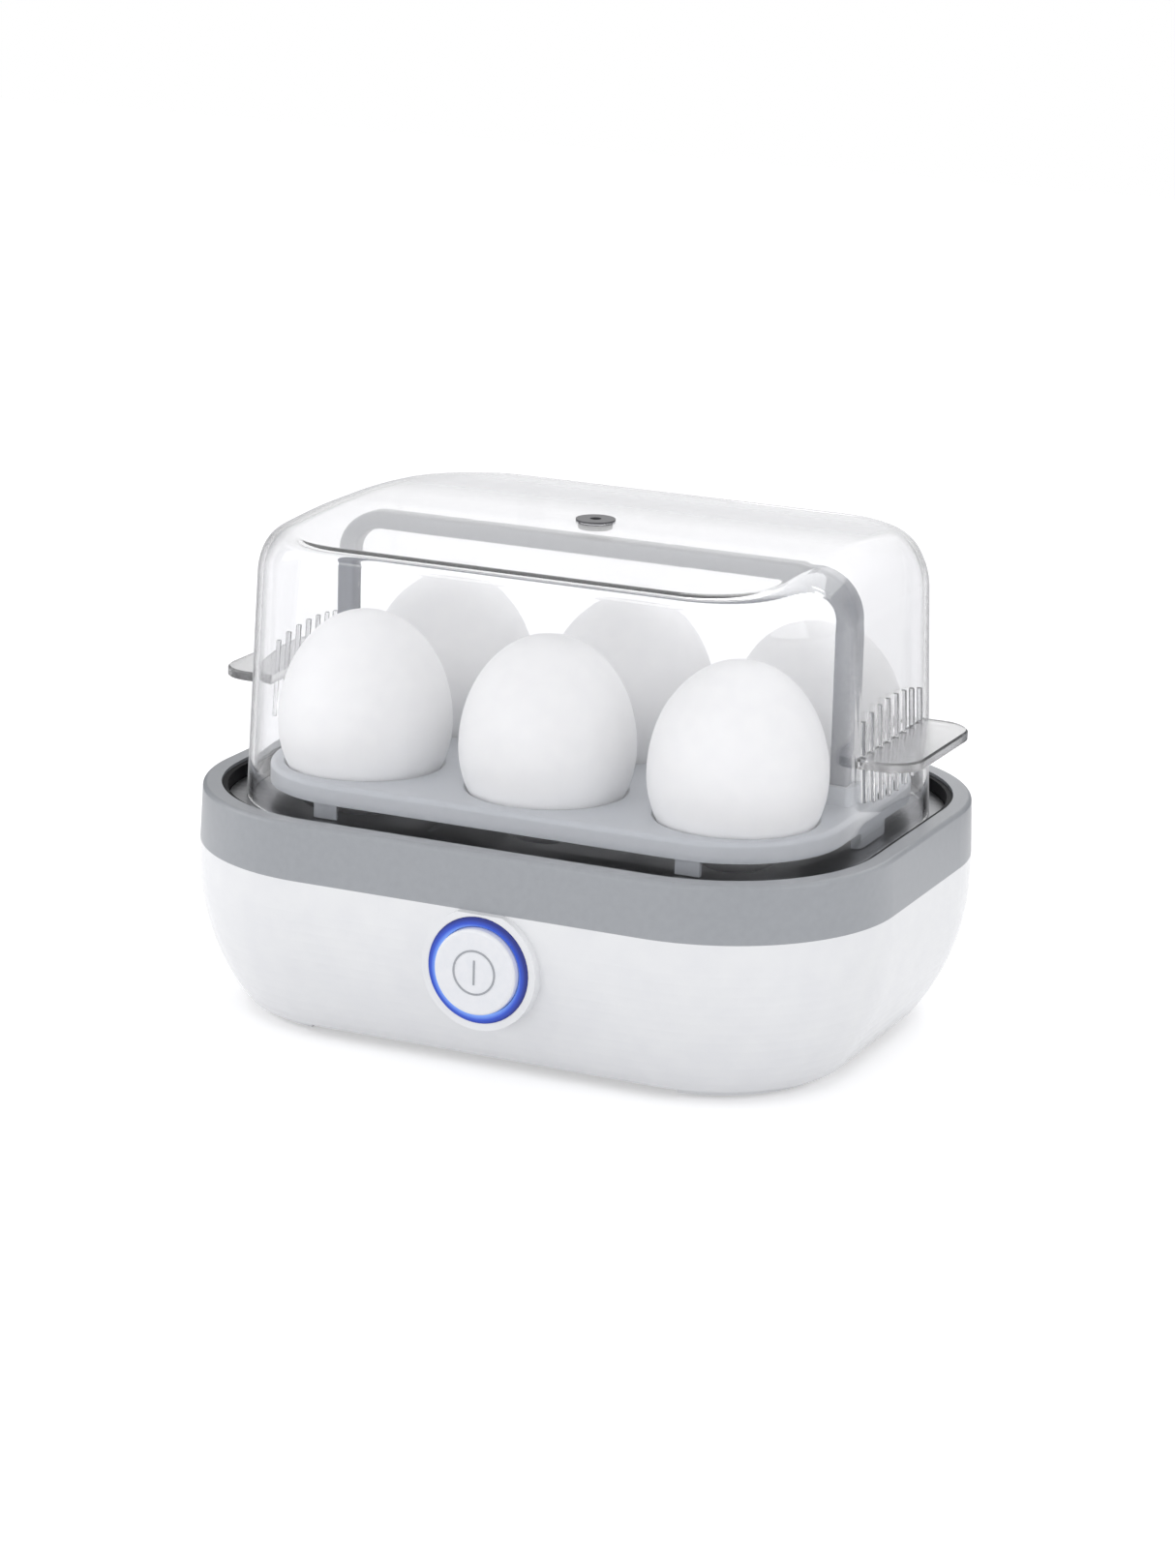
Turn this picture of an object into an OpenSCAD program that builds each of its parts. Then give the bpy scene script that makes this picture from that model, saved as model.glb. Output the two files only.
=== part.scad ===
// Six-egg cooker. A white housing with a grey trim ring carries a steel heating bowl. An egg rack
// with an arched handle stands in the bowl, and a clear lid with side grips covers it.
// Millimetres, +Z up, origin at the bottom centre. The front, with the button, looks along -Y.

/* [Base] */
// Length of the base, left to right
body_l = 192; // [176:1:210]
// Width of the base, front to back
body_w = 145; // [135:1:160]
// Corner radius of the base in plan
corner_r = 48; // [44:1:56]
// Height of the seam between the housing and the trim ring
seam_z = 45.5; // [44:0.5:54]
// Height of the trim ring's outer band
ring_h = 15; // [13:0.5:18]
// Width of the trim ring's top face
ring_top_w = 5.5; // [4.5:0.5:7]
// Wall of the housing and the trim ring
wall = 2.5; // [2:0.1:3]
// Height of the housing's underside above the ground
ground_gap = 3; // [2:0.5:5]
// Radius of the curve that draws the housing's sides in towards the bottom
side_curve_r = 60; // [56:1:75]

/* [Lid] */
// Distance from each end of the base in to the lid
lid_end_gap = 10.5; // [9.5:0.5:14]
// Distance from the base's front and back in to the lid
lid_side_gap = 13.5; // [11:0.5:16]
// Corner radius of the lid at its lower edge
lid_r = 38; // [30:1:40]
// Height of the lid from its lower edge to its top
lid_h = 75; // [72:1:86]
// Wall of the lid
lid_wall = 2; // [1.6:0.1:2.6]
// How far each side of the lid leans in by the start of its top rounding
lid_draft = 3.2; // [2:0.1:4]
// Radius of the rounding round the lid's top
lid_top_r = 18; // [12:1:20]
// Width of each lid grip, front to back
grip_w = 48; // [40:1:56]
// Reach of each lid grip beyond the lid's lower edge
grip_reach = 13.5; // [11:0.5:18]
// Height of the grips' upper face above the lid's lower edge
grip_z = 28; // [24:0.5:34]
// Number of ribs on each end of the lid
rib_count = 8; // [6:1:12]

/* [Rack] */
// Gap between the rack's skirt and the lid
rack_gap = 4; // [3:0.5:6]
// Width of the deck left between an egg hole and the one behind it
egg_bridge = 10.4; // [9:0.2:14]
// Width of an egg over the width of its hole
egg_over = 1.135; // [1.08:0.005:1.15]
// Depth of the rim below each egg hole
cup_h = 4; // [3:0.5:6]
// Height of the rack's upper face above the bowl's rim
deck_rise = 9.7; // [8.5:0.1:14]
// Thickness of the rack's deck
deck_t = 2; // [1.5:0.1:3]
// Height of the skirt round the rack's deck
skirt_h = 5.4; // [4:0.2:6]
// Gap between the handle's top and the inside of the lid
handle_gap = 3.1; // [2.5:0.1:8]
// Distance from the rack's ends in to the handle's legs
handle_inset = 5.5; // [4.5:0.5:9]
// Half width of the handle's bar, front to back
leg_half_w = 2.6; // [2:0.1:4]
// Thickness of the handle's bar, seen from the front
leg_t = 5; // [4:0.5:6]

/* [Button] */
// Place of the button along the front
button_x = 5; // [-20:1:20]
// Distance from the seam down to the light ring
light_drop = 0.7; // [0.6:0.1:3]
// Radius of the button's cap
cap_r = 11.2; // [9:0.1:11.5]
// Width of the light ring round the cap
light_w = 2.6; // [2:0.1:3]
// Width of the boss round the light ring
bezel_w = 2; // [1.6:0.1:3]
// Travel of the button
button_travel = 2; // [1:0.1:2.5]

/* [Heating] */
// Thickness of the bowl's sheet steel
sheet_t = 0.8; // [0.6:0.1:1]
// Depth of the heating bowl
bowl_depth = 13; // [10:0.5:14]
// Width of the bowl's floor left round the heat spreader
spreader_margin = 4; // [4:0.5:10]
// Distance from the spreader's edge in to the middle of the heating tube
tube_margin = 8; // [5:0.5:12]
// Radius of the heating tube
tube_r = 3.2; // [2.5:0.1:3.5]

/* [Hidden] */

gap = 0.3;            // clearance between pieces that come apart
fit = 0.1;            // clearance between pieces that stay together
eps = 0.01;           // overrun of a cut past a face
curve_steps = 14;     // steps of a drawn-in side
fillet_steps = 8;     // steps of a rounded edge
round_fn = 64;

ring_z = seam_z + ring_h;
ring_draft = 0.6;
ring_edge_r = 1.2;
ring_lip_t = 2;
lap_h = 4;            // how far the ring's spigot reaches into the housing
spigot_t = 1.5;
side_top_z = seam_z - 5.5;

// The lid's outline, which the bowl and the rack follow.
lid_l = body_l - 2 * lid_end_gap;
lid_w = body_w - 2 * lid_side_gap;

// Feet, screws and the bottom cover.
pad_l = 44;           // reach of the corner pads from the body's ends
pad_w = 50.5;         // and from its front and back
pad_corner_r = 8;
pad_inset = 4;
pad_z = 0.8;          // underside of the pads, which the rubber feet stand below
pad_from_x = body_l / 2 - pad_l;
pad_from_y = body_w / 2 - pad_w;
foot_in_x = 37;
foot_in_y = 36.5;
foot_x = body_l / 2 - foot_in_x;
foot_y = body_w / 2 - foot_in_y;
rubber_r = 6;
rubber_h = 2.4;
screw_r = 1.5;
screw_head_r = 2.8;
screw_head_h = 1.8;
screw_proud = 0.8;    // how far the cover screws' heads stand below the cover
screw_sink = 1;       // how deep the liner screws' heads are sunk in the pads
screw_bite = 7;       // length of a screw in its boss
thread_gap = 0.05;
boss_r = 3.6;
boss_h = 8;
cover_to_pad = 10;
cover_in = 22.5;
cover_l = 2 * (pad_from_x - cover_to_pad);
cover_w = body_w - 2 * cover_in;
cover_r = 6;
cover_t = 2;
cover_lap = 8.5;
cover_rim_t = 2.5;
cover_rim_w = 3;
cover_screw_in = 4.5;
cover_screw_x = cover_l / 2 - cover_screw_in;
cover_screw_y = cover_w / 2 - cover_screw_in;
slot_count = 7;
slot_w = 2.4;
slot_l = 30;
slot_pitch = 7;

// The bowl, and the liner that carries it.
rim_drop = 4.2;
rim_z = ring_z - rim_drop;                   // upper face of the bowl's rim
bowl_in_x = 9.5;
bowl_in_y = 11;
bowl_l = lid_l - 2 * bowl_in_x;
bowl_w = lid_w - 2 * bowl_in_y;
bowl_r = lid_r - 4;
bowl_floor_z = rim_z - bowl_depth;           // upper face of the bowl's floor
bowl_edge_r = 4;
dish_depth = 1.2;
liner_t = 1.5;
liner_l = body_l - 2 * (ring_top_w + fit);
liner_w = body_w - 2 * (ring_top_w + fit);
liner_r = corner_r - ring_top_w - fit;
liner_drop = 0.8;                            // how far the liner's edge lies below the ring's
ledge_t = 1.8;
ledge_z = rim_z - sheet_t;                   // upper face of the liner's ledge
shelf_z = ledge_z - ledge_t;                 // upper face of the ring's shelf
shelf_t = 2;
shelf_w = 10;
rim_inset = liner_t + gap;
post_in_x = 28;
post_in_y = 30.5;
post_x = body_l / 2 - post_in_x;
post_y = body_w / 2 - post_in_y;
post_drop = 15.5;
post_z = seam_z - post_drop;                 // where the housing's posts meet the liner's
clip_w = 12;
clip_h = 7;
clip_t = 0.8;
clip_reach = 5;

// The lid.
lid_z = rim_z + gap;                         // the lid's lower edge
lid_top_z = lid_z + lid_h;
vent_r = 5.2;
vent_hole_r = 4.6;
vent_bore_r = 1.5;
vent_flange_t = 0.5;
vent_depth = lid_wall + 1;
grip_t = 2.4;
grip_corner_r = 9;
rib_t = 1.3;
rib_h = 11.2;                                // reach of the middle rib above the grip
rib_low_h = 12;                              // and below it
rib_arc = 2.3;                               // how much shorter the outer ribs are, at each end
rib_proud = 1.2;
rib_margin = 4.2;
rib_pitch = (grip_w - 2 * rib_margin) / (rib_count - 1);

// The rack and its handle.
deck_z = rim_z + deck_rise;
rack_l = lid_l - 2 * (lid_wall + rack_gap);
rack_w = lid_w - 2 * (lid_wall + rack_gap) - 2;
rack_r = lid_r - lid_wall - rack_gap - 1;
rack_edge_r = 1.4;
skirt_t = 1.8;
tongue_w = 16;
side_tongue_w = 6.6;
side_tongue_x = 0.32 * rack_l;
side_tongue_inset = 1.7;                     // from the skirt's face to the tongue's middle
egg_pitch_x = rack_l / 3;
egg_pitch_y = rack_w / 2 - 1;
cup_r = (egg_pitch_y - egg_bridge) / 2;      // radius of the hole that an egg sits in
egg_r = cup_r * egg_over;
egg_below = 1.1 * egg_r;                     // from an egg's widest part down to its blunt end
egg_above = 1.28 * egg_r;                    // and up to its tip
egg_steps = 12;
cup_wall = 1.5;
cup_chamfer = 1.2;
egg_z = deck_z - cup_chamfer + egg_below * sqrt(1 - pow((cup_r - fit) / egg_r, 2));
steam_hole_r = 3;
socket_wall = 1.6;
socket_h = 5;
handle_l = rack_l - 2 * handle_inset;
handle_top_z = lid_top_z - lid_wall - handle_gap;
handle_bend_r = 13;

// The button and what lies behind it.
light_r = cap_r + light_w;
bezel_r = light_r + bezel_w;
button_z = seam_z - light_drop - light_r;
front_y = -body_w / 2;
bezel_h = 2.2;
bezel_in = 12;                               // how far a boss starts behind the wall's face
bezel_y = front_y - bezel_h;                 // face of the boss round the button
recess_depth = 3.4;
recess_y = bezel_y + recess_depth;           // floor of its recess
light_y = bezel_y - 0.2;
cap_proud = 2.4;
cap_y = bezel_y - cap_proud;                 // face of the cap
cap_t = 3;
cap_edge_r = 0.8;
cap_gap = 0.3;
stem_r = 2.8;
guide_bore_gap = 0.1;
guide_r = 6;
guide_l = 9;
guide_end_y = recess_y + guide_l;
guide_flange_r = 8;
guide_flange_t = 1.5;
spring_r = 4.4;
spring_wire_r = 0.35;
spring_end_gap = 0.05;
spring_turns = 3;
spring_steps = 14;
spring_sides = 6;
symbol_r = 5.9;
symbol_line = 0.5;
symbol_t = 0.12;
symbol_bar = 6.4;
board_in = 22.5;
board_y = front_y + board_in;                // front face of the control board
board_t = 1.6;
board_l = 48;
board_drop = 18;
board_rise = 7.5;
board_z0 = button_z - board_drop;
board_z1 = button_z + board_rise;
switch_w = 12;
switch_d = 8.6;
switch_y = board_y - switch_d;
pipe_r = 1;
pipe_in = 1.3;
pipe_x = light_r - pipe_in;
led_r = 1.5;
led_h = 3;
buzzer_r = 6;
buzzer_h = 7;
buzzer_hole_r = 1;
buzzer_dx = 16;
buzzer_drop = 11;
buzzer_z = button_z - buzzer_drop;
bracket_l = 36;
bracket_t = 1.6;
bracket_post_h = 3;
bracket_z = ground_gap + wall + bracket_post_h;
bracket_drop = 6;
bracket_hole_in = 3;
bracket_screw_dx = bracket_l / 2 - bracket_hole_in;
bracket_screw_in = 19.5;
bracket_screw_y = front_y + bracket_screw_in;
bracket_screw_bite = 2.4;

// The heater, seen from the bowl downwards.
spreader_r = bowl_w / 2 - spreader_margin;
spreader_t = 2;
spreader_z = bowl_floor_z - dish_depth - sheet_t;
heater_z = spreader_z - spreader_t;          // underside of the spreader
tube_ring_r = spreader_r - tube_margin;
tube_z = heater_z - tube_r;
tube_gap_angle = 60;
pin_r = 1.4;
pin_l = 15;
insulator_r = 3.2;
insulator_h = 5;
thermostat_r = 8;
thermostat_h = 6;
blade_w = 6.3;
blade_t = 0.8;
blade_l = 8;
strap_t = 1.2;
strap_w = 7;
strap_reach = 4;
fuse_r = 2;
fuse_l = 11;
fuse_gap = 4;
fuse_y = thermostat_r + blade_l + fuse_r + fuse_gap - 1;
fuse_lead_r = 0.5;
fuse_lead_l = 6;
block_l = 18;
block_w = 16;
block_h = 12;
block_in_x = 41;
block_in_y = 48.5;
block_x = block_in_x - body_l / 2;
block_y = body_w / 2 - block_in_y;
block_screw_r = 2;
block_bore_r = 1.6;
gland_in_x = 56;
gland_x = gland_in_x - body_l / 2;
gland_drop = 23.5;
gland_z = seam_z - gland_drop;
gland_r = 5;
gland_bore_r = 3.6;
gland_flange_r = 7.5;
gland_flange_t = 1.5;
gland_boss_r = 9;
gland_nut_r = 7;
gland_nut_t = 2;

white = [0.93, 0.93, 0.94];
grey = [0.62, 0.63, 0.65];
black = [0.08, 0.08, 0.09];
steel = [0.78, 0.79, 0.8];

// A rounded rectangle with true arcs.
module rounded(l, w, r) {
    square([l - 2 * r, w], center = true);
    square([l, w - 2 * r], center = true);
    for (sx = [-1, 1], sy = [-1, 1])
        translate([sx * (l / 2 - r), sy * (w / 2 - r)])
            circle(r = r, $fn = round_fn);
}

// A block of rounded plan.
module slab(l, w, r, z0, z1) {
    translate([0, 0, z0])
        linear_extrude(z1 - z0)
            rounded(l, w, r);
}

// A ring of rounded plan: the outer plan less the same plan drawn in by t.
module band(l, w, r, t, z0, z1) {
    translate([0, 0, z0])
        linear_extrude(z1 - z0)
            difference() {
                rounded(l, w, r);
                rounded(l - 2 * t, w - 2 * t, r - t);
            }
}

// A solid of rounded plan whose sides follow a profile of [inset, z] points, lowest first.
module drawn(l, w, r, profile) {
    low = profile[0][1];
    high = profile[len(profile) - 1][1];
    for (sx = [0, 1], sy = [0, 1])
        mirror([sx, 0, 0])
            mirror([0, sy, 0])
                translate([l / 2 - r, w / 2 - r, 0])
                    rotate_extrude(angle = 90, $fn = round_fn)
                        polygon(concat([[0, low]], [for (p = profile) [r - p[0], p[1]]], [[0, high]]));
    rotate([90, 0, 90])
        linear_extrude(l - 2 * r, center = true)
            polygon(concat([for (p = profile) [w / 2 - p[0], p[1]]],
                           [for (i = [len(profile) - 1:-1:0]) [profile[i][0] - w / 2, profile[i][1]]]));
    rotate([90, 0, 0])
        linear_extrude(w - 2 * r, center = true)
            polygon(concat([for (p = profile) [l / 2 - p[0], p[1]]],
                           [for (i = [len(profile) - 1:-1:0]) [profile[i][0] - l / 2, profile[i][1]]]));
}

// A cylinder along Y from y0 to y1, centred on the button's axis.
module y_rod(r, y0, y1, x = button_x, z = button_z) {
    translate([x, y1, z])
        rotate([90, 0, 0])
            cylinder(r = r, h = y1 - y0, $fn = round_fn);
}

module corners(x, y) {
    for (sx = [-1, 1], sy = [-1, 1])
        translate([sx * x, sy * y, 0])
            children();
}

// How far the housing's side is drawn in at a height, for a wall that lies t inside it.
function side_inset(z, t) =
    t + (z >= side_top_z ? 0
         : side_curve_r - sqrt(pow(side_curve_r, 2) - pow(side_top_z - z, 2)));
function side_profile(t, z0, z1) =
    concat([for (i = [0:curve_steps - 1])
                let (z = z0 + (side_top_z - z0) * i / curve_steps) [side_inset(z, t), z]],
           [[t, side_top_z], [t, z1]]);

module base_housing() color(white) {
    difference() {
        union() {
            difference() {
                union() {
                    drawn(body_l, body_w, corner_r, side_profile(0, ground_gap, seam_z));
                    intersection() {
                        y_rod(bezel_r, bezel_y, front_y + bezel_in);
                        slab(body_l, 2 * body_w, corner_r, 0, seam_z);
                    }
                    y_rod(gland_boss_r, body_w / 2 - bezel_in, body_w / 2, gland_x, gland_z);
                }
                drawn(body_l, body_w, corner_r, side_profile(wall, ground_gap + wall, seam_z + 1));
            }
            foot_pads();
            slab(cover_l + 2 * cover_rim_w, cover_w + 2 * cover_rim_w, cover_r + cover_rim_w,
                 ground_gap, ground_gap + cover_t + cover_rim_t);
            corners(cover_screw_x, cover_screw_y)
                rod(boss_r, ground_gap + cover_t, ground_gap + cover_t + boss_h);
            intersection() {
                corners(post_x, post_y)
                    rod(boss_r, pad_z, post_z);
                drawn(body_l, body_w, corner_r, side_profile(wall / 2, pad_z, seam_z));
            }
            for (side = [-1, 1])
                translate([button_x + side * bracket_screw_dx, bracket_screw_y, 0])
                    rod(boss_r, ground_gap + wall / 2, bracket_z);
        }
        slab(cover_l - 2 * cover_lap, cover_w - 2 * cover_lap, cover_r / 2, 0, ground_gap + boss_h);
        slab(cover_l + 2 * fit, cover_w + 2 * fit, cover_r + fit, 0, ground_gap + cover_t);
        corners(cover_screw_x, cover_screw_y)
            rod(screw_r + thread_gap, ground_gap, ground_gap + cover_t + screw_bite);
        corners(foot_x, foot_y)
            rod(rubber_r + fit, 0, rubber_h);
        corners(post_x, post_y) {
            rod(screw_head_r + gap, 0, ground_gap + screw_sink);
            rod(screw_r + fit, 0, post_z + 1);
        }
        for (side = [-1, 1])
            translate([button_x + side * bracket_screw_dx, bracket_screw_y, 0])
                rod(screw_r + thread_gap, ground_gap + wall / 2, bracket_z + 1);
        y_rod(light_r + fit, bezel_y - 1, recess_y);
        y_rod(guide_r + fit, bezel_y, front_y + 14);
        for (side = [-1, 1])
            y_rod(pipe_r + fit, bezel_y, front_y + 14, button_x + side * pipe_x);
        y_rod(gland_r + fit, 0, body_w, gland_x, gland_z);
    }
}

// A vertical cylinder from z0 to z1.
module rod(r, z0, z1) {
    translate([0, 0, z0])
        cylinder(r = r, h = z1 - z0, $fn = round_fn);
}

// Low pads that carry the housing's corners.
module foot_pads() {
    inset = side_inset(ground_gap, 0) + pad_inset;
    intersection() {
        for (sx = [0, 1], sy = [0, 1])
            mirror([sx, 0, 0])
                mirror([0, sy, 0])
                    translate([pad_from_x + body_l / 4, pad_from_y + body_w / 4, 0])
                        slab(body_l / 2, body_w / 2, pad_corner_r, pad_z, ground_gap + wall / 2);
        slab(body_l - 2 * inset, body_w - 2 * inset, corner_r - inset, pad_z, ground_gap + wall);
    }
}

module bottom_cover() color(white) {
    difference() {
        slab(cover_l, cover_w, cover_r, ground_gap, ground_gap + cover_t);
        for (i = [0:slot_count - 1])
            translate([(i - (slot_count - 1) / 2) * slot_pitch, 0, 0])
                slab(slot_w, slot_l, slot_w / 2 - eps, 0, body_w);
        corners(cover_screw_x, cover_screw_y) {
            rod(screw_r + fit, 0, body_w);
            rod(screw_head_r + fit, 0, ground_gap + screw_head_h - screw_proud);
        }
    }
}

// A screw with its head down, from its head's lower face upwards.
module screw_up(length) {
    cylinder(r = screw_head_r, h = screw_head_h, $fn = round_fn);
    cylinder(r = screw_r, h = screw_head_h + length, $fn = round_fn);
}

module cover_screws() color(steel) {
    corners(cover_screw_x, cover_screw_y)
        translate([0, 0, ground_gap - screw_proud])
            screw_up(screw_bite);
}

module rubber_feet() color(black) {
    corners(foot_x, foot_y)
        rod(rubber_r, 0, rubber_h);
}

function rounded_edge(r, inset, z) =
    [for (i = [1:fillet_steps])
        let (a = 90 * i / fillet_steps) [inset + r * (1 - cos(a)), z - r * (1 - sin(a))]];

module trim_ring() color(grey) {
    ring_side = concat([[0, seam_z], [ring_draft, ring_z - ring_edge_r]],
                       rounded_edge(ring_edge_r, ring_draft, ring_z));
    difference() {
        drawn(body_l, body_w, corner_r, ring_side);
        slab(liner_l + 2 * fit, liner_w + 2 * fit, liner_r + fit, shelf_z, ring_z + 1);
        slab(body_l - 2 * shelf_w, body_w - 2 * shelf_w, corner_r - shelf_w, 0, ring_z);
        slab(body_l - 2 * wall - 1, body_w - 2 * wall - 1, corner_r - wall - 0.5, shelf_z, ring_z - ring_lip_t);
        slab(body_l - 2 * wall, body_w - 2 * wall, corner_r - wall, 0, shelf_z - shelf_t);
    }
    band(body_l - 2 * (wall + fit), body_w - 2 * (wall + fit), corner_r - wall - fit,
         spigot_t, seam_z - lap_h, shelf_z - shelf_t);
}

module inner_liner() color(black) {
    band(liner_l, liner_w, liner_r, liner_t, shelf_z, ring_z - liner_drop);
    difference() {
        union() {
            slab(liner_l, liner_w, liner_r, shelf_z, ledge_z);
            corners(post_x, post_y)
                rod(boss_r, post_z, ledge_z);
        }
        slab(bowl_l + 2 * gap, bowl_w + 2 * gap, bowl_r + gap, 0, ring_z);
        corners(post_x, post_y)
            rod(screw_r + thread_gap, 0, post_z + boss_h);
    }
}

module liner_screws() color(steel) {
    corners(post_x, post_y)
        translate([0, 0, ground_gap + screw_sink - screw_head_h])
            screw_up(post_z - ground_gap - screw_sink + screw_bite);
}

function pan_side(t) =
    concat([for (i = [0:fillet_steps])
               let (a = 90 * i / fillet_steps)
                   [t + (bowl_edge_r - t) * (1 - sin(a)),
                    bowl_floor_z - sheet_t + t + (bowl_edge_r - t) * (1 - cos(a))]],
           [[t, rim_z + (t > 0 ? 1 : 0)]]);

module heating_bowl() color(steel) {
    difference() {
        union() {
            slab(liner_l - 2 * rim_inset, liner_w - 2 * rim_inset, liner_r - rim_inset, ledge_z, rim_z);
            drawn(bowl_l, bowl_w, bowl_r, pan_side(0));
            rod(spreader_r + sheet_t, spreader_z, bowl_floor_z);
        }
        drawn(bowl_l, bowl_w, bowl_r, pan_side(sheet_t));
        rod(spreader_r, bowl_floor_z - dish_depth, bowl_floor_z + 1);
    }
}

module bowl_clips() color(steel) {
    for (half = [[bowl_l / 2, 0], [bowl_w / 2, 90]], side = [0, 180])
        rotate(half[1] + side)
            translate([half[0], -clip_w / 2, 0]) {
                translate([0, 0, shelf_z - clip_h])
                    cube([clip_t, clip_w, clip_h]);
                translate([0, 0, shelf_z - clip_t])
                    cube([clip_reach, clip_w, clip_t]);
            }
}

module heat_spreader() color([0.7, 0.71, 0.72]) {
    rod(spreader_r, heater_z, spreader_z);
}

// Places its children at both ends of the heating tube.
module tube_ends() {
    for (side = [-1, 1])
        rotate(90 + side * tube_gap_angle / 2)
            translate([tube_ring_r, 0, 0])
                children();
}

module heating_element() color([0.35, 0.35, 0.37]) {
    translate([0, 0, tube_z])
        rotate(90 + tube_gap_angle / 2)
            rotate_extrude(angle = 360 - tube_gap_angle, $fn = round_fn)
                translate([tube_ring_r, 0])
                    circle(r = tube_r, $fn = 32);
    tube_ends() {
        rod(tube_r - eps, tube_z - 2 * tube_r, tube_z);
        rod(pin_r, tube_z - pin_l, tube_z);
    }
}

module element_insulators() color([0.9, 0.88, 0.82]) {
    tube_ends()
        difference() {
            rod(insulator_r, tube_z - 2 * tube_r - insulator_h, tube_z - 2 * tube_r);
            rod(pin_r + thread_gap, 0, tube_z);
        }
}

module thermostat() color(black) {
    rod(thermostat_r, heater_z - thermostat_h, heater_z);
    for (side = [0, 180])
        rotate(side)
            translate([-blade_w / 2, thermostat_r - 1, heater_z - thermostat_h + 1])
                cube([blade_w, blade_l, blade_t]);
}

module thermostat_clip() color(steel) {
    span = thermostat_r + strap_reach;
    translate([-span, -strap_w / 2, heater_z - thermostat_h - strap_t])
        cube([2 * span, strap_w, strap_t]);
    for (side = [-1, 1])
        translate([side * (span - strap_t / 2) - strap_t / 2, -strap_w / 2, heater_z - thermostat_h - strap_t])
            cube([strap_t, strap_w, thermostat_h + strap_t]);
}

module thermal_fuse() color([0.85, 0.83, 0.75]) {
    translate([0, fuse_y, heater_z - fuse_r])
        rotate([0, 90, 0]) {
            cylinder(r = fuse_r, h = fuse_l, center = true, $fn = round_fn);
            cylinder(r = fuse_lead_r, h = fuse_l + 2 * fuse_lead_l, center = true, $fn = 32);
        }
}

module fuse_bracket() color(steel) {
    translate([0, fuse_y, heater_z])
        difference() {
            translate([-strap_w / 2, -fuse_r - 4, -2 * fuse_r - fit - strap_t])
                cube([strap_w, 2 * fuse_r + 8, 2 * fuse_r + fit + strap_t]);
            translate([-strap_w, -fuse_r - fit, -2 * fuse_r - fit])
                cube([2 * strap_w, 2 * fuse_r + 2 * fit, 3 * fuse_r]);
            for (side = [-1, 1])
                translate([-strap_w, side * (fuse_r + 3 + fit) - 2, -2 * fuse_r - 2 * strap_t])
                    cube([2 * strap_w, 4 - eps, 2 * fuse_r + strap_t]);
        }
}

module control_board() color([0.1, 0.35, 0.2]) {
    translate([button_x - board_l / 2, board_y, board_z0])
        cube([board_l, board_t, board_z1 - board_z0]);
}

module buzzer() color(black) {
    difference() {
        y_rod(buzzer_r, board_y - buzzer_h, board_y, button_x + buzzer_dx, buzzer_z);
        y_rod(buzzer_hole_r, board_y - buzzer_h - 1, board_y - buzzer_h / 2, button_x + buzzer_dx, buzzer_z);
    }
}

module status_leds() color([0.6, 0.75, 1]) {
    for (side = [-1, 1]) {
        y_rod(led_r, board_y - led_h, board_y, button_x + side * pipe_x);
        translate([button_x + side * pipe_x, board_y - led_h, button_z])
            sphere(r = led_r, $fn = 32);
    }
}

module switch_body() color(black) {
    translate([button_x - switch_w / 2, switch_y, button_z - switch_w / 2])
        cube([switch_w, board_y - switch_y, switch_w]);
}

module board_bracket() color(steel) {
    difference() {
        translate([button_x - bracket_l / 2, board_y + board_t, bracket_z])
            cube([bracket_l, bracket_t, board_z1 - bracket_z - bracket_drop]);
        translate([button_x - bracket_l / 4, front_y, bracket_z + bracket_l / 4])
            cube([bracket_l / 2, body_w / 2, bracket_l / 4]);
    }
    difference() {
        translate([button_x - bracket_l / 2, bracket_screw_y - boss_r, bracket_z])
            cube([bracket_l, board_y + board_t - bracket_screw_y + boss_r, bracket_t]);
        for (side = [-1, 1])
            translate([button_x + side * bracket_screw_dx, bracket_screw_y, 0])
                rod(screw_r + fit, 0, board_z1);
    }
}

module bracket_screws() color(steel) {
    for (side = [-1, 1])
        translate([button_x + side * bracket_screw_dx, bracket_screw_y, bracket_z + bracket_t + screw_head_h])
            mirror([0, 0, 1])
                screw_up(bracket_t + bracket_screw_bite);
}

module terminal_block() color([0.88, 0.87, 0.83]) {
    difference() {
        translate([block_x - block_l / 2, block_y - block_w / 2, ground_gap + wall])
            cube([block_l, block_w, block_h]);
        for (side = [-1, 1])
            translate([block_x + side * block_l / 4, block_y, 0]) {
                rod(block_screw_r, ground_gap + wall + block_h - 2 * block_screw_r, seam_z);
                translate([0, 0, ground_gap + wall + block_h / 2 - block_screw_r / 2])
                    rotate([90, 0, 0])
                        cylinder(r = block_bore_r, h = block_w + 2, center = true, $fn = 32);
            }
    }
}

module cord_gland() color(black) {
    face = body_w / 2;
    inner = face - side_inset(gland_z - gland_nut_r, wall) - fit;
    difference() {
        union() {
            y_rod(gland_r, inner - gland_nut_t, -cap_y + symbol_t, gland_x, gland_z);
            y_rod(gland_flange_r, face, face + gland_flange_t, gland_x, gland_z);
            y_rod(gland_nut_r, inner - gland_nut_t, inner, gland_x, gland_z);
        }
        y_rod(gland_bore_r, 0, body_w, gland_x, gland_z);
    }
}

module button_guide() color(white) {
    difference() {
        union() {
            y_rod(guide_r, recess_y, guide_end_y);
            y_rod(guide_flange_r, guide_end_y - guide_flange_t, guide_end_y);
        }
        y_rod(stem_r + guide_bore_gap, front_y - 20, 0);
    }
}

module light_ring() color([0.2, 0.35, 0.95]) {
    difference() {
        y_rod(light_r, light_y, recess_y);
        y_rod(cap_r + cap_gap, light_y - 1, recess_y + 1);
    }
    for (side = [-1, 1])
        y_rod(pipe_r, recess_y - 1, board_y - led_h - led_r - gap, button_x + side * pipe_x);
}

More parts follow.
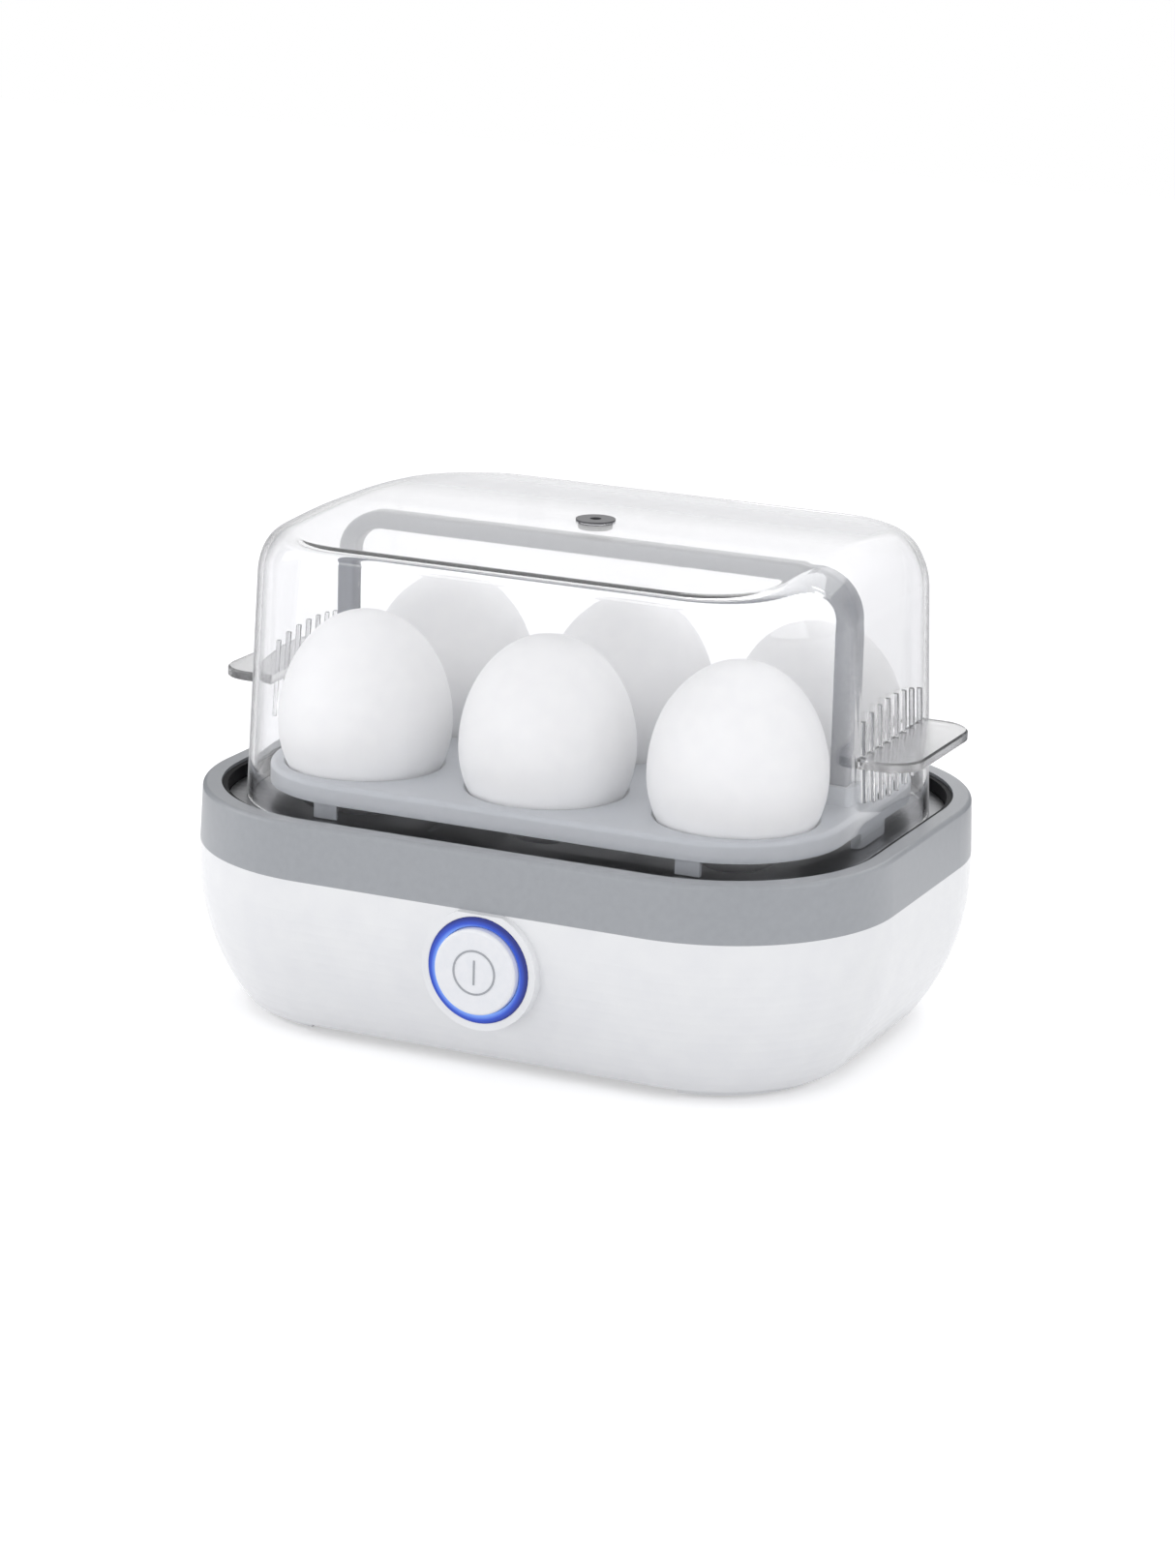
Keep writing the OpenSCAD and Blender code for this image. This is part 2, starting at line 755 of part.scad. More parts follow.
module button_cap() color(white) {
    translate([button_x, cap_y + cap_t, button_z])
        rotate([90, 0, 0])
            rotate_extrude($fn = round_fn)
                polygon(concat([[0, 0], [cap_r, 0]],
                               [for (i = [0:4])
                                   let (a = 90 * i / 4)
                                       [cap_r - cap_edge_r * (1 - cos(a)), cap_t - cap_edge_r * (1 - sin(a))]],
                               [[0, cap_t]]));
    y_rod(stem_r, cap_y + cap_t - eps, switch_y - button_travel - gap);
}

module button_symbol() color([0.6, 0.6, 0.62]) {
    translate([button_x, cap_y, button_z])
        rotate([90, 0, 0])
            linear_extrude(symbol_t) {
                difference() {
                    circle(r = symbol_r, $fn = round_fn);
                    circle(r = symbol_r - symbol_line, $fn = round_fn);
                }
                square([symbol_line, symbol_bar], center = true);
            }
}

// A coil along Y, from the guide's face to the back of the cap.
module button_spring() color(steel) {
    from = cap_y + cap_t + spring_wire_r + spring_end_gap;
    to = recess_y - spring_wire_r - spring_end_gap;
    steps = spring_turns * spring_steps;
    points = [for (i = [0:steps], j = [0:spring_sides - 1])
        let (a = 360 * i / spring_steps, b = 360 * j / spring_sides,
             r = spring_r + spring_wire_r * cos(b))
            [button_x + r * cos(a), from + (to - from) * i / steps + spring_wire_r * sin(b),
             button_z + r * sin(a)]];
    skin = [for (i = [0:steps - 1], j = [0:spring_sides - 1])
        let (p = i * spring_sides + j, q = i * spring_sides + (j + 1) % spring_sides)
            [p, q, q + spring_sides, p + spring_sides]];
    ends = [[for (j = [spring_sides - 1:-1:0]) j], [for (j = [0:spring_sides - 1]) steps * spring_sides + j]];
    polyhedron(points, concat(skin, ends));
}

module egg_rack() color(grey) {
    leg_x = (handle_l - leg_t) / 2;
    difference() {
        union() {
            drawn(rack_l, rack_w, rack_r,
                  concat([[0, deck_z - skirt_h], [0, deck_z - rack_edge_r]],
                         rounded_edge(rack_edge_r, 0, deck_z)));
            rack_tongues();
            for (side = [-1, 1])
                translate([side * leg_x, 0, 0])
                    slab(leg_t + 2 * socket_wall, 2 * (leg_half_w + socket_wall), socket_wall,
                         deck_z - deck_t / 2, deck_z + socket_h);
        }
        difference() {
            slab(rack_l - 2 * skirt_t, rack_w - 2 * skirt_t, rack_r - skirt_t, 0, deck_z - deck_t);
            egg_places()
                rod(cup_r + cup_wall, deck_z - deck_t - cup_h, deck_z);
        }
        egg_places() {
            rod(cup_r, 0, deck_z + 1);
            translate([0, 0, deck_z - cup_chamfer])
                cylinder(r1 = cup_r, r2 = cup_r + cup_chamfer, h = cup_chamfer, $fn = round_fn);
        }
        for (side = [-1, 1]) {
            translate([side * egg_pitch_x / 2, 0, 0])
                rod(steam_hole_r, 0, deck_z + 1);
            translate([side * leg_x, 0, 0])
                slab(leg_t + 2 * fit, 2 * (leg_half_w + fit), fit, deck_z, deck_z + socket_h + 1);
        }
    }
}

// Places its children at the six eggs.
module egg_places() {
    for (column = [-1:1], row = [-1, 1])
        translate([column * egg_pitch_x, row * egg_pitch_y / 2, 0])
            children();
}

// Half of an egg's outline, from its blunt end to its tip.
function egg_side() =
    concat([for (i = [0:egg_steps])
                let (a = 90 * i / egg_steps) [egg_r * sin(a), -egg_below * cos(a)]],
           [for (i = [1:egg_steps])
                let (a = 90 * i / egg_steps) [egg_r * cos(a), egg_above * sin(a)]]);

// Six eggs, each standing on the edge of its hole. They lift out with the rack.
module eggs() color([0.95, 0.95, 0.94]) {
    egg_places()
        translate([0, 0, egg_z])
            rotate_extrude($fn = round_fn / 2)
                polygon(egg_side());
}

// Tongues of the skirt that stand on the bowl's rim. Those at the sides are set back from its face.
module rack_tongues() {
    foot_low = rim_z + gap;
    foot_high = deck_z - skirt_h + 1;
    for (side = [-1, 1]) {
        translate([side * (rack_l / 2 - skirt_t / 2), 0, (foot_low + foot_high) / 2])
            cube([skirt_t, tongue_w, foot_high - foot_low], center = true);
        for (along = [-1, 1])
            translate([along * side_tongue_x, side * (rack_w / 2 - side_tongue_inset), (foot_low + foot_high) / 2])
                cube([side_tongue_w, skirt_t, foot_high - foot_low], center = true);
    }
}

// The area under an arch with rounded shoulders, standing on the rack's deck.
module arch_area(half_l, top_z, r) {
    translate([-half_l, deck_z])
        square([2 * half_l, top_z - r - deck_z]);
    translate([r - half_l, deck_z])
        square([2 * (half_l - r), top_z - deck_z]);
    for (side = [-1, 1])
        translate([side * (half_l - r), top_z - r])
            circle(r = r, $fn = round_fn);
}

module rack_handle() color(grey) {
    rotate([90, 0, 0])
        linear_extrude(2 * leg_half_w, center = true)
            difference() {
                arch_area(handle_l / 2, handle_top_z, handle_bend_r);
                arch_area(handle_l / 2 - leg_t, handle_top_z - leg_t, handle_bend_r - leg_t);
            }
}

function lid_side(t, low) =
    concat([[t, low], [lid_draft + t, lid_top_z - lid_top_r]],
           rounded_edge(lid_top_r - t, lid_draft + t, lid_top_z - t));

module lid() color([0.85, 0.9, 0.95, 0.35]) {
    difference() {
        union() {
            drawn(lid_l, lid_w, lid_r, lid_side(0, lid_z));
            for (side = [0, 1])
                mirror([side, 0, 0]) {
                    lid_grip();
                    lid_ribs();
                }
        }
        drawn(lid_l, lid_w, lid_r, lid_side(lid_wall, lid_z - 1));
        rod(vent_hole_r, 0, lid_top_z + 1);
    }
}

// A flat grip on the lid's right end.
module lid_grip() {
    from = lid_l / 2 - lid_draft - lid_wall;
    to = lid_l / 2 + grip_reach;
    translate([0, 0, lid_z + grip_z - grip_t])
        linear_extrude(grip_t) {
            translate([from, -grip_w / 2])
                square([to - grip_corner_r - from, grip_w]);
            translate([from, grip_corner_r - grip_w / 2])
                square([to - from, grip_w - 2 * grip_corner_r]);
            for (side = [-1, 1])
                translate([to - grip_corner_r, side * (grip_w / 2 - grip_corner_r)])
                    circle(r = grip_corner_r, $fn = round_fn);
        }
}

function lid_face(z) = lid_l / 2 - lid_draft * (z - lid_z) / (lid_h - lid_top_r);

// Upright ribs above and below the grip, the middle ones the tallest.
module lid_ribs() {
    z = lid_z + grip_z;
    from = lid_l / 2 - lid_draft - lid_wall / 2;
    for (i = [0:rib_count - 1]) {
        drop = rib_arc * pow(2 * i / (rib_count - 1) - 1, 2);
        low = z - grip_t - rib_low_h + drop;
        high = z + rib_h - drop;
        translate([0, (i - (rib_count - 1) / 2) * rib_pitch, 0])
            rotate([90, 0, 0])
                linear_extrude(rib_t, center = true)
                    polygon([[from, low], [lid_face(low) + rib_proud, low],
                             [lid_face(high) + rib_proud, high], [from, high]]);
    }
}

module vent_insert() color([0.3, 0.3, 0.32]) {
    difference() {
        union() {
            rod(vent_hole_r - fit, lid_top_z - vent_depth, lid_top_z);
            rod(vent_r, lid_top_z, lid_top_z + vent_flange_t);
        }
        rod(vent_bore_r, 0, lid_top_z + 2);
    }
}

base_housing();
bottom_cover();
cover_screws();
rubber_feet();
trim_ring();
inner_liner();
liner_screws();
heating_bowl();
bowl_clips();
heat_spreader();
heating_element();
element_insulators();
thermostat();
thermostat_clip();
thermal_fuse();
fuse_bracket();
control_board();
buzzer();
status_leds();
switch_body();
board_bracket();
bracket_screws();
terminal_block();
cord_gland();
button_guide();
light_ring();
button_cap();
button_symbol();
button_spring();
egg_rack();
rack_handle();
eggs();
lid();
vent_insert();
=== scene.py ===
import bpy
from math import radians, sin, cos, pi, sqrt
from mathutils import Vector, Matrix


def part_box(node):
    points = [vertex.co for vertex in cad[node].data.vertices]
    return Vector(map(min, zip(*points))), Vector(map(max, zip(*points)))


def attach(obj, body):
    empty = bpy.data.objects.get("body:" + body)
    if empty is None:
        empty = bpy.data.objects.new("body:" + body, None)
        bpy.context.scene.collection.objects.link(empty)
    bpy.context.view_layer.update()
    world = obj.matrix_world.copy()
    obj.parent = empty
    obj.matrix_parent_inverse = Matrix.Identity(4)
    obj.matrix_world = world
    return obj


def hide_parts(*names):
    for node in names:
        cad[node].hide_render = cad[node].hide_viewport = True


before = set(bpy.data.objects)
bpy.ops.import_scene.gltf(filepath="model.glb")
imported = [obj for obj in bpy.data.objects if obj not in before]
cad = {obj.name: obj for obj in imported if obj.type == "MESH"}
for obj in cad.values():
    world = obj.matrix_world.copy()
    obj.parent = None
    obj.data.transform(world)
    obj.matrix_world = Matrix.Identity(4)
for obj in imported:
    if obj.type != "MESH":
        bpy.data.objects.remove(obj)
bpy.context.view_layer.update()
scene = bpy.context.scene
scene.view_settings.view_transform = "Standard"
mm = 0.001
print("frame loaded:", len(cad), "nodes")

cameraPlace = {
    "azimuth": 24.37, "elevation": 14.91, "roll": 1.59,   # degrees
    "aim": (0, 0, 0.075), "distance": 1.15419, "sightEnd": 50,
    "pixels": (1214, 1620), "sensor": 36,                 # the sensor is in mm
    "focalLength": 4537.12, "middle": (609.36, 755.29),   # in pixels
}


def placeCamera(place):
    az, el, roll = (radians(place[k]) for k in ("azimuth", "elevation", "roll"))
    back = Vector((sin(az) * cos(el), -cos(az) * cos(el), sin(el)))
    right = Vector((cos(az), sin(az), 0))
    up = back.cross(right)
    right, up = right * cos(roll) + up * sin(roll), up * cos(roll) - right * sin(roll)
    turn = Matrix((right, up, back)).transposed().to_4x4()
    data = bpy.data.cameras.new("camera")
    camera = bpy.data.objects.new("camera", data)
    scene.collection.objects.link(camera)
    camera.matrix_world = Matrix.Translation(Vector(place["aim"]) + back * place["distance"]) @ turn
    wide, high = place["pixels"]
    data.sensor_width = place["sensor"]
    data.lens = place["focalLength"] * place["sensor"] / high
    data.shift_x = (wide / 2 - place["middle"][0]) / high
    data.shift_y = (place["middle"][1] - high / 2) / high
    data.clip_end = place["sightEnd"]
    scene.camera = camera


placeCamera(cameraPlace)

studio = {
    "worldLevel": 0.8, "seenLevel": 1.0,
    "floorSize": 3.2, "floorColour": (0.78, 0.78, 0.79), "floorSeen": 0.4,
    # name: (place, aim, width, height, watts)
    "lamps": {
        "rearSoftbox": ((0, 1.2, 1.1), (0, 0, 0.08), 1.2, 0.7, 4.4),
        "rightSoftbox": ((1.4, -0.32, 0.5), (0, 0, 0.06), 0.9, 0.9, 3.4),
        "leftSoftbox": ((-1.3, -0.5, 0.45), (0, 0, 0.06), 0.9, 0.9, 3.4),
        "lowFront": ((-0.25, -1.6, 0.2), (0, 0, 0.07), 1.4, 0.4, 3.9),
    },
    # soft grey cards close behind, seen by reflections alone, which give clear walls their edges
    # name: (x, y, turn, width)
    "cards": {"leftCard": (-0.28, 0.09, 58, 0.36), "rightCard": (0.14, 0.26, -12, 0.32)},
    "cardHeight": 0.3, "cardDark": 0.0,
    # in shares of a card from its middle: where white ends and the darkest begins, across and upwards
    "cardFades": ((0.5, 0.12), (0.5, 0.05)),
}


# 1 for camera, glossy and transmission rays, 0 for the rest
def seenByEye(tree):
    path = tree.nodes.new("ShaderNodeLightPath")
    most = None
    for ray in ("Is Camera Ray", "Is Glossy Ray", "Is Transmission Ray"):
        if most is None:
            most = path.outputs[ray]
            continue
        top = tree.nodes.new("ShaderNodeMath")
        top.operation = "MAXIMUM"
        tree.links.new(most, top.inputs[0])
        tree.links.new(path.outputs[ray], top.inputs[1])
        most = top.outputs[0]
    return most


def lightStudio(s):
    world = bpy.data.worlds.new("studioWorld")
    scene.world = world
    world.use_nodes = True
    tree = world.node_tree
    tree.nodes.clear()
    plain = tree.nodes.new("ShaderNodeBackground")
    plain.inputs["Strength"].default_value = s["worldLevel"]
    seen = tree.nodes.new("ShaderNodeBackground")
    seen.inputs["Strength"].default_value = s["seenLevel"]
    for shader in (plain, seen):
        shader.inputs["Color"].default_value = (1, 1, 1, 1)
    mix = tree.nodes.new("ShaderNodeMixShader")
    out = tree.nodes.new("ShaderNodeOutputWorld")
    tree.links.new(seenByEye(tree), mix.inputs[0])
    tree.links.new(plain.outputs[0], mix.inputs[1])
    tree.links.new(seen.outputs[0], mix.inputs[2])
    tree.links.new(mix.outputs[0], out.inputs[0])
    for name, (place, aim, wide, high, watts) in s["lamps"].items():
        data = bpy.data.lights.new(name, "AREA")
        data.shape = "RECTANGLE"
        data.size, data.size_y, data.energy = wide, high, watts
        lamp = bpy.data.objects.new(name, data)
        scene.collection.objects.link(lamp)
        way = Vector(aim) - Vector(place)
        lamp.matrix_world = Matrix.Translation(place) @ way.to_track_quat("-Z", "Y").to_matrix().to_4x4()


def layFloor(s):
    bpy.ops.object.select_all(action="DESELECT")
    bpy.ops.mesh.primitive_plane_add(size=s["floorSize"], location=(0, 0, 0))
    floor = bpy.context.object
    floor.name = "floor"
    paint = bpy.data.materials.new("paleFloor")
    paint.use_nodes = True
    tree = paint.node_tree
    tree.nodes.clear()
    matt = tree.nodes.new("ShaderNodeBsdfDiffuse")
    matt.inputs["Color"].default_value = (*s["floorColour"], 1)
    glow = tree.nodes.new("ShaderNodeEmission")
    level = tree.nodes.new("ShaderNodeMath")
    level.operation = "MULTIPLY"
    level.inputs[1].default_value = s["floorSeen"]
    tree.links.new(seenByEye(tree), level.inputs[0])
    tree.links.new(level.outputs[0], glow.inputs["Strength"])
    both = tree.nodes.new("ShaderNodeAddShader")
    out = tree.nodes.new("ShaderNodeOutputMaterial")
    tree.links.new(matt.outputs[0], both.inputs[0])
    tree.links.new(glow.outputs[0], both.inputs[1])
    tree.links.new(both.outputs[0], out.inputs[0])
    floor.data.materials.append(paint)


# darkest low down in the middle, and white at the sides and the top
def paintCard(s):
    paint = bpy.data.materials.new("cardPaint")
    paint.use_nodes = True
    tree = paint.node_tree
    tree.nodes.clear()
    place = tree.nodes.new("ShaderNodeTexCoord")
    split = tree.nodes.new("ShaderNodeSeparateXYZ")
    away = tree.nodes.new("ShaderNodeMath")
    away.operation = "ABSOLUTE"
    fades = []
    for start, end in s["cardFades"]:
        fade = tree.nodes.new("ShaderNodeMapRange")
        fade.interpolation_type = "SMOOTHSTEP"
        fade.inputs["From Min"].default_value = start
        fade.inputs["From Max"].default_value = end
        fades.append(fade)
    both = tree.nodes.new("ShaderNodeMath")
    both.operation = "MULTIPLY"
    level = tree.nodes.new("ShaderNodeMapRange")
    level.inputs["To Min"].default_value = 1
    level.inputs["To Max"].default_value = s["cardDark"]
    glow = tree.nodes.new("ShaderNodeEmission")
    out = tree.nodes.new("ShaderNodeOutputMaterial")
    tree.links.new(place.outputs["Object"], split.inputs[0])
    tree.links.new(split.outputs["X"], away.inputs[0])
    tree.links.new(away.outputs[0], fades[0].inputs["Value"])
    tree.links.new(split.outputs["Y"], fades[1].inputs["Value"])
    tree.links.new(fades[0].outputs[0], both.inputs[0])
    tree.links.new(fades[1].outputs[0], both.inputs[1])
    tree.links.new(both.outputs[0], level.inputs["Value"])
    tree.links.new(level.outputs[0], glow.inputs["Strength"])
    tree.links.new(glow.outputs[0], out.inputs[0])
    return paint


def standCards(s):
    paint = paintCard(s)
    for name, (x, y, turn, wide) in s["cards"].items():
        bpy.ops.object.select_all(action="DESELECT")
        bpy.ops.mesh.primitive_plane_add(size=1, location=(x, y, s["cardHeight"] / 2),
                                         rotation=(radians(90), 0, radians(turn)))
        card = bpy.context.object
        card.name = name
        card.scale = (wide, s["cardHeight"], 1)
        card.data.materials.append(paint)
        for ray in ("camera", "diffuse", "transmission", "shadow", "volume_scatter"):
            setattr(card, "visible_" + ray, False)


lightStudio(studio)
layFloor(studio)
standCards(studio)
print("camera, lamps and floor placed")


# 0-255 levels as linear colour
def srgb(*levels):
    return tuple(((v / 255 + 0.055) / 1.055) ** 2.4 if v > 10 else v / 255 / 12.92 for v in levels)


drift = {"detail": 3, "range": (0.3, 0.7), "grainDepth": 0.0001}


# a finish whose colour and roughness drift a little over the surface, with a fine grain
def makeFinish(name, light, dark, rough, scale, grain=0.0, grainScale=2600, stretch=(1, 1, 1),
               **sockets):
    finish = bpy.data.materials.new(name)
    finish.use_nodes = True
    tree = finish.node_tree
    shader = tree.nodes["Principled BSDF"]
    place = tree.nodes.new("ShaderNodeTexCoord")
    turn = tree.nodes.new("ShaderNodeMapping")
    turn.inputs["Scale"].default_value = stretch
    tree.links.new(place.outputs["Object"], turn.inputs["Vector"])
    broad = tree.nodes.new("ShaderNodeTexNoise")
    broad.inputs["Scale"].default_value = scale
    broad.inputs["Detail"].default_value = drift["detail"]
    tree.links.new(turn.outputs[0], broad.inputs["Vector"])
    tint = tree.nodes.new("ShaderNodeValToRGB")
    for stop, position, levels in zip(tint.color_ramp.elements, drift["range"], (dark, light)):
        stop.position = position
        stop.color = (*srgb(*levels), 1)
    tree.links.new(broad.outputs["Fac"], tint.inputs[0])
    tree.links.new(tint.outputs[0], shader.inputs["Base Color"])
    spread = tree.nodes.new("ShaderNodeMapRange")
    spread.inputs["To Min"].default_value = rough[0]
    spread.inputs["To Max"].default_value = rough[1]
    tree.links.new(broad.outputs["Fac"], spread.inputs["Value"])
    tree.links.new(spread.outputs[0], shader.inputs["Roughness"])
    if grain:
        fine = tree.nodes.new("ShaderNodeTexNoise")
        fine.inputs["Scale"].default_value = grainScale
        tree.links.new(turn.outputs[0], fine.inputs["Vector"])
        bump = tree.nodes.new("ShaderNodeBump")
        bump.inputs["Strength"].default_value = grain
        bump.inputs["Distance"].default_value = drift["grainDepth"]
        tree.links.new(fine.outputs["Fac"], bump.inputs["Height"])
        tree.links.new(bump.outputs[0], shader.inputs["Normal"])
    for socket, value in sockets.items():
        shader.inputs[socket.replace("_", " ")].default_value = value
    return finish


# name: (light, dark, roughness, drift scale, grain, grain scale, stretch)
plainLooks = {
    "whiteGloss": ((236, 237, 239), (232, 233, 236), (0.16, 0.24), 120, 0.04, 1500),
    "buttonWhite": ((236, 237, 241), (231, 233, 238), (0.28, 0.36), 500, 0.05, 2500),
    "ringGrey": ((159, 162, 167), (155, 158, 163), (0.28, 0.36), 500, 0.03, 2600),
    "rackGrey": ((193, 197, 203), (189, 193, 199), (0.25, 0.34), 600, 0.04, 2800),
    "handleGrey": ((134, 137, 144), (128, 131, 138), (0.22, 0.3), 600, 0.03, 2800),
    "ventDark": ((88, 88, 92), (74, 74, 78), (0.4, 0.5), 900, 0.1, 2600),
    "symbolGrey": ((165, 168, 174), (155, 158, 164), (0.35, 0.45), 2000),
    "rubber": ((60, 60, 62), (48, 48, 50), (0.6, 0.75), 800, 0.3, 2500),
    "ceramicWhite": ((238, 233, 222), (226, 220, 208), (0.5, 0.65), 900, 0.2, 2500),
    "blackPart": ((44, 44, 46), (34, 34, 36), (0.4, 0.55), 900, 0.2, 2500),
    "boardGreen": ((36, 110, 70), (24, 86, 54), (0.3, 0.45), 260),
    "blockCream": ((226, 220, 204), (214, 208, 190), (0.4, 0.5), 800, 0.1, 2400),
}
metalLooks = {
    "bowlSteel": ((158, 159, 162), (140, 141, 144), (0.24, 0.38), 90, 0.06, 400, (0.25, 6, 6)),
    "plainSteel": ((190, 191, 194), (168, 170, 173), (0.25, 0.4), 900, 0.1, 3000),
    "aluminium": ((205, 206, 208), (188, 190, 193), (0.35, 0.5), 500, 0.2, 1800),
    "elementSheath": ((104, 100, 98), (72, 70, 72), (0.4, 0.6), 300, 0.2, 1500),
    "fuseBrass": ((214, 190, 130), (190, 165, 105), (0.25, 0.4), 700),
}
linerLook = ((24, 25, 28), (18, 19, 22), (0.55, 0.7), 700, 0.2, 2500)
eggshellLook = ((251, 251, 251), (247, 247, 248), (0.42, 0.55), 260, 0.25, 2200)
finishes = {name: makeFinish(name, *look) for name, look in plainLooks.items()}
for name, look in metalLooks.items():
    finishes[name] = makeFinish(name, *look, Metallic=1.0)
finishes["linerBlack"] = makeFinish("linerBlack", *linerLook, Specular_IOR_Level=0.15)
finishes["eggshell"] = makeFinish("eggshell", *eggshellLook, Subsurface_Weight=0.3,
                                  Subsurface_Scale=0.008, Subsurface_Radius=(1, 1, 1))

# tints and hazes are (angle to the eye, level): 0 is met square on, 1 at the edge. The deep tint and the
# thick grey haze near 1 are painted edge shade, in place of the dark reflections along a clear wall's rim
clearLooks = {
    "clearPlastic": {
        "tints": ((0, 0.99), (0.4, 0.98), (0.76, 0.96), (0.84, 0.82), (1, 0.5)),
        "hazes": ((0, 0.035), (0.5, 0.04), (0.77, 0.06), (0.84, 0.3), (1, 0.9)),
        "hazeColour": (206, 207, 210), "rough": (0.01, 0.04), "through": 0.97,
    },
    "frostedGrip": {
        "tints": ((0, 0.88), (0.5, 0.8), (0.8, 0.64), (1, 0.42)),
        "hazes": ((0, 0.03), (0.8, 0.06), (1, 0.3)),
        "hazeColour": (170, 171, 175), "rough": (0.1, 0.18), "through": 0.9,
    },
}
acrylic = {"index": 1.49, "coolness": 1.01, "driftScale": 40}


# clear moulded plastic with a faint haze square on; towards the edges, where the eye looks along the
# wall, the tint deepens and a grey haze takes over, which is painted edge shade
def makeClearPlastic(name, look):
    clear = bpy.data.materials.new(name)
    clear.use_nodes = True
    tree = clear.node_tree
    shader = tree.nodes["Principled BSDF"]
    shader.inputs["IOR"].default_value = acrylic["index"]
    shader.inputs["Transmission Weight"].default_value = 1
    # painted edge shade: the angle to the eye darkens the tint and raises the grey haze towards the edges
    facing = tree.nodes.new("ShaderNodeLayerWeight")
    ramps = []
    for levels in (look["tints"], look["hazes"]):
        ramp = tree.nodes.new("ShaderNodeValToRGB")
        stops = ramp.color_ramp.elements
        while len(stops) < len(levels):
            stops.new(0.5)
        for stop, (position, level) in zip(stops, levels):
            stop.position = position
            stop.color = (level, level, min(1, level * acrylic["coolness"]), 1)
        tree.links.new(facing.outputs["Facing"], ramp.inputs[0])
        ramps.append(ramp)
    tree.links.new(ramps[0].outputs[0], shader.inputs["Base Color"])
    place = tree.nodes.new("ShaderNodeTexCoord")
    broad = tree.nodes.new("ShaderNodeTexNoise")
    broad.inputs["Scale"].default_value = acrylic["driftScale"]
    spread = tree.nodes.new("ShaderNodeMapRange")
    spread.inputs["To Min"].default_value = look["rough"][0]
    spread.inputs["To Max"].default_value = look["rough"][1]
    tree.links.new(place.outputs["Object"], broad.inputs["Vector"])
    tree.links.new(broad.outputs["Fac"], spread.inputs["Value"])
    tree.links.new(spread.outputs[0], shader.inputs["Roughness"])
    path = tree.nodes.new("ShaderNodeLightPath")
    shade = tree.nodes.new("ShaderNodeBsdfTransparent")
    shade.inputs["Color"].default_value = (look["through"],) * 3 + (1,)
    # grey diffuse: a faint real haze square on, painted edge shade towards the edges
    hazeAndEdgeShadeDiffuse = tree.nodes.new("ShaderNodeBsdfDiffuse")
    hazeAndEdgeShadeDiffuse.inputs["Color"].default_value = (*srgb(*look["hazeColour"]), 1)
    hazeAndEdgeShadeMix = tree.nodes.new("ShaderNodeMixShader")
    tree.links.new(ramps[1].outputs[0], hazeAndEdgeShadeMix.inputs[0])
    tree.links.new(shader.outputs[0], hazeAndEdgeShadeMix.inputs[1])
    tree.links.new(hazeAndEdgeShadeDiffuse.outputs[0], hazeAndEdgeShadeMix.inputs[2])
    mix = tree.nodes.new("ShaderNodeMixShader")
    out = tree.nodes["Material Output"]
    tree.links.new(path.outputs["Is Shadow Ray"], mix.inputs[0])
    tree.links.new(hazeAndEdgeShadeMix.outputs[0], mix.inputs[1])
    tree.links.new(shade.outputs[0], mix.inputs[2])
    tree.links.new(mix.outputs[0], out.inputs["Surface"])
    return clear


for name, look in clearLooks.items():
    finishes[name] = makeClearPlastic(name, look)

# the light comes from a little below and left of the button's middle
glowLook = {
    "reach": (0.0112, 0.0138), "shift": 0.5 * mm,
    "inner": (120, 160, 230), "middle": (38, 72, 180), "outer": (16, 32, 112),
    "strength": 0.4, "rough": 0.25,
}


# blue light that is pale inside and deep outside, measured from the button's axis
def makeGlow(name, look, middle):
    glow = bpy.data.materials.new(name)
    glow.use_nodes = True
    tree = glow.node_tree
    shader = tree.nodes["Principled BSDF"]
    place = tree.nodes.new("ShaderNodeTexCoord")
    centre = tree.nodes.new("ShaderNodeMapping")
    shift = look["shift"]
    centre.inputs["Location"].default_value = (shift - middle[0], -middle[1], shift - middle[2])
    flat = tree.nodes.new("ShaderNodeVectorMath")
    flat.operation = "MULTIPLY"
    flat.inputs[1].default_value = (1, 0, 1)
    far = tree.nodes.new("ShaderNodeVectorMath")
    far.operation = "LENGTH"
    spread = tree.nodes.new("ShaderNodeMapRange")
    spread.inputs["From Min"].default_value = look["reach"][0]
    spread.inputs["From Max"].default_value = look["reach"][1]
    ramp = tree.nodes.new("ShaderNodeValToRGB")
    ramp.color_ramp.elements[0].color = (*srgb(*look["inner"]), 1)
    ramp.color_ramp.elements[1].color = (*srgb(*look["outer"]), 1)
    between = ramp.color_ramp.elements.new(0.5)
    between.color = (*srgb(*look["middle"]), 1)
    tree.links.new(place.outputs["Object"], centre.inputs["Vector"])
    tree.links.new(centre.outputs[0], flat.inputs[0])
    tree.links.new(flat.outputs[0], far.inputs[0])
    tree.links.new(far.outputs["Value"], spread.inputs["Value"])
    tree.links.new(spread.outputs[0], ramp.inputs[0])
    tree.links.new(ramp.outputs[0], shader.inputs["Base Color"])
    tree.links.new(ramp.outputs[0], shader.inputs["Emission Color"])
    shader.inputs["Emission Strength"].default_value = look["strength"]
    shader.inputs["Roughness"].default_value = look["rough"]
    return glow


capLow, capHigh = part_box("button_cap")
finishes["blueGlow"] = makeGlow("blueGlow", glowLook, (capLow + capHigh) / 2)
print("finishes made:", len(finishes))

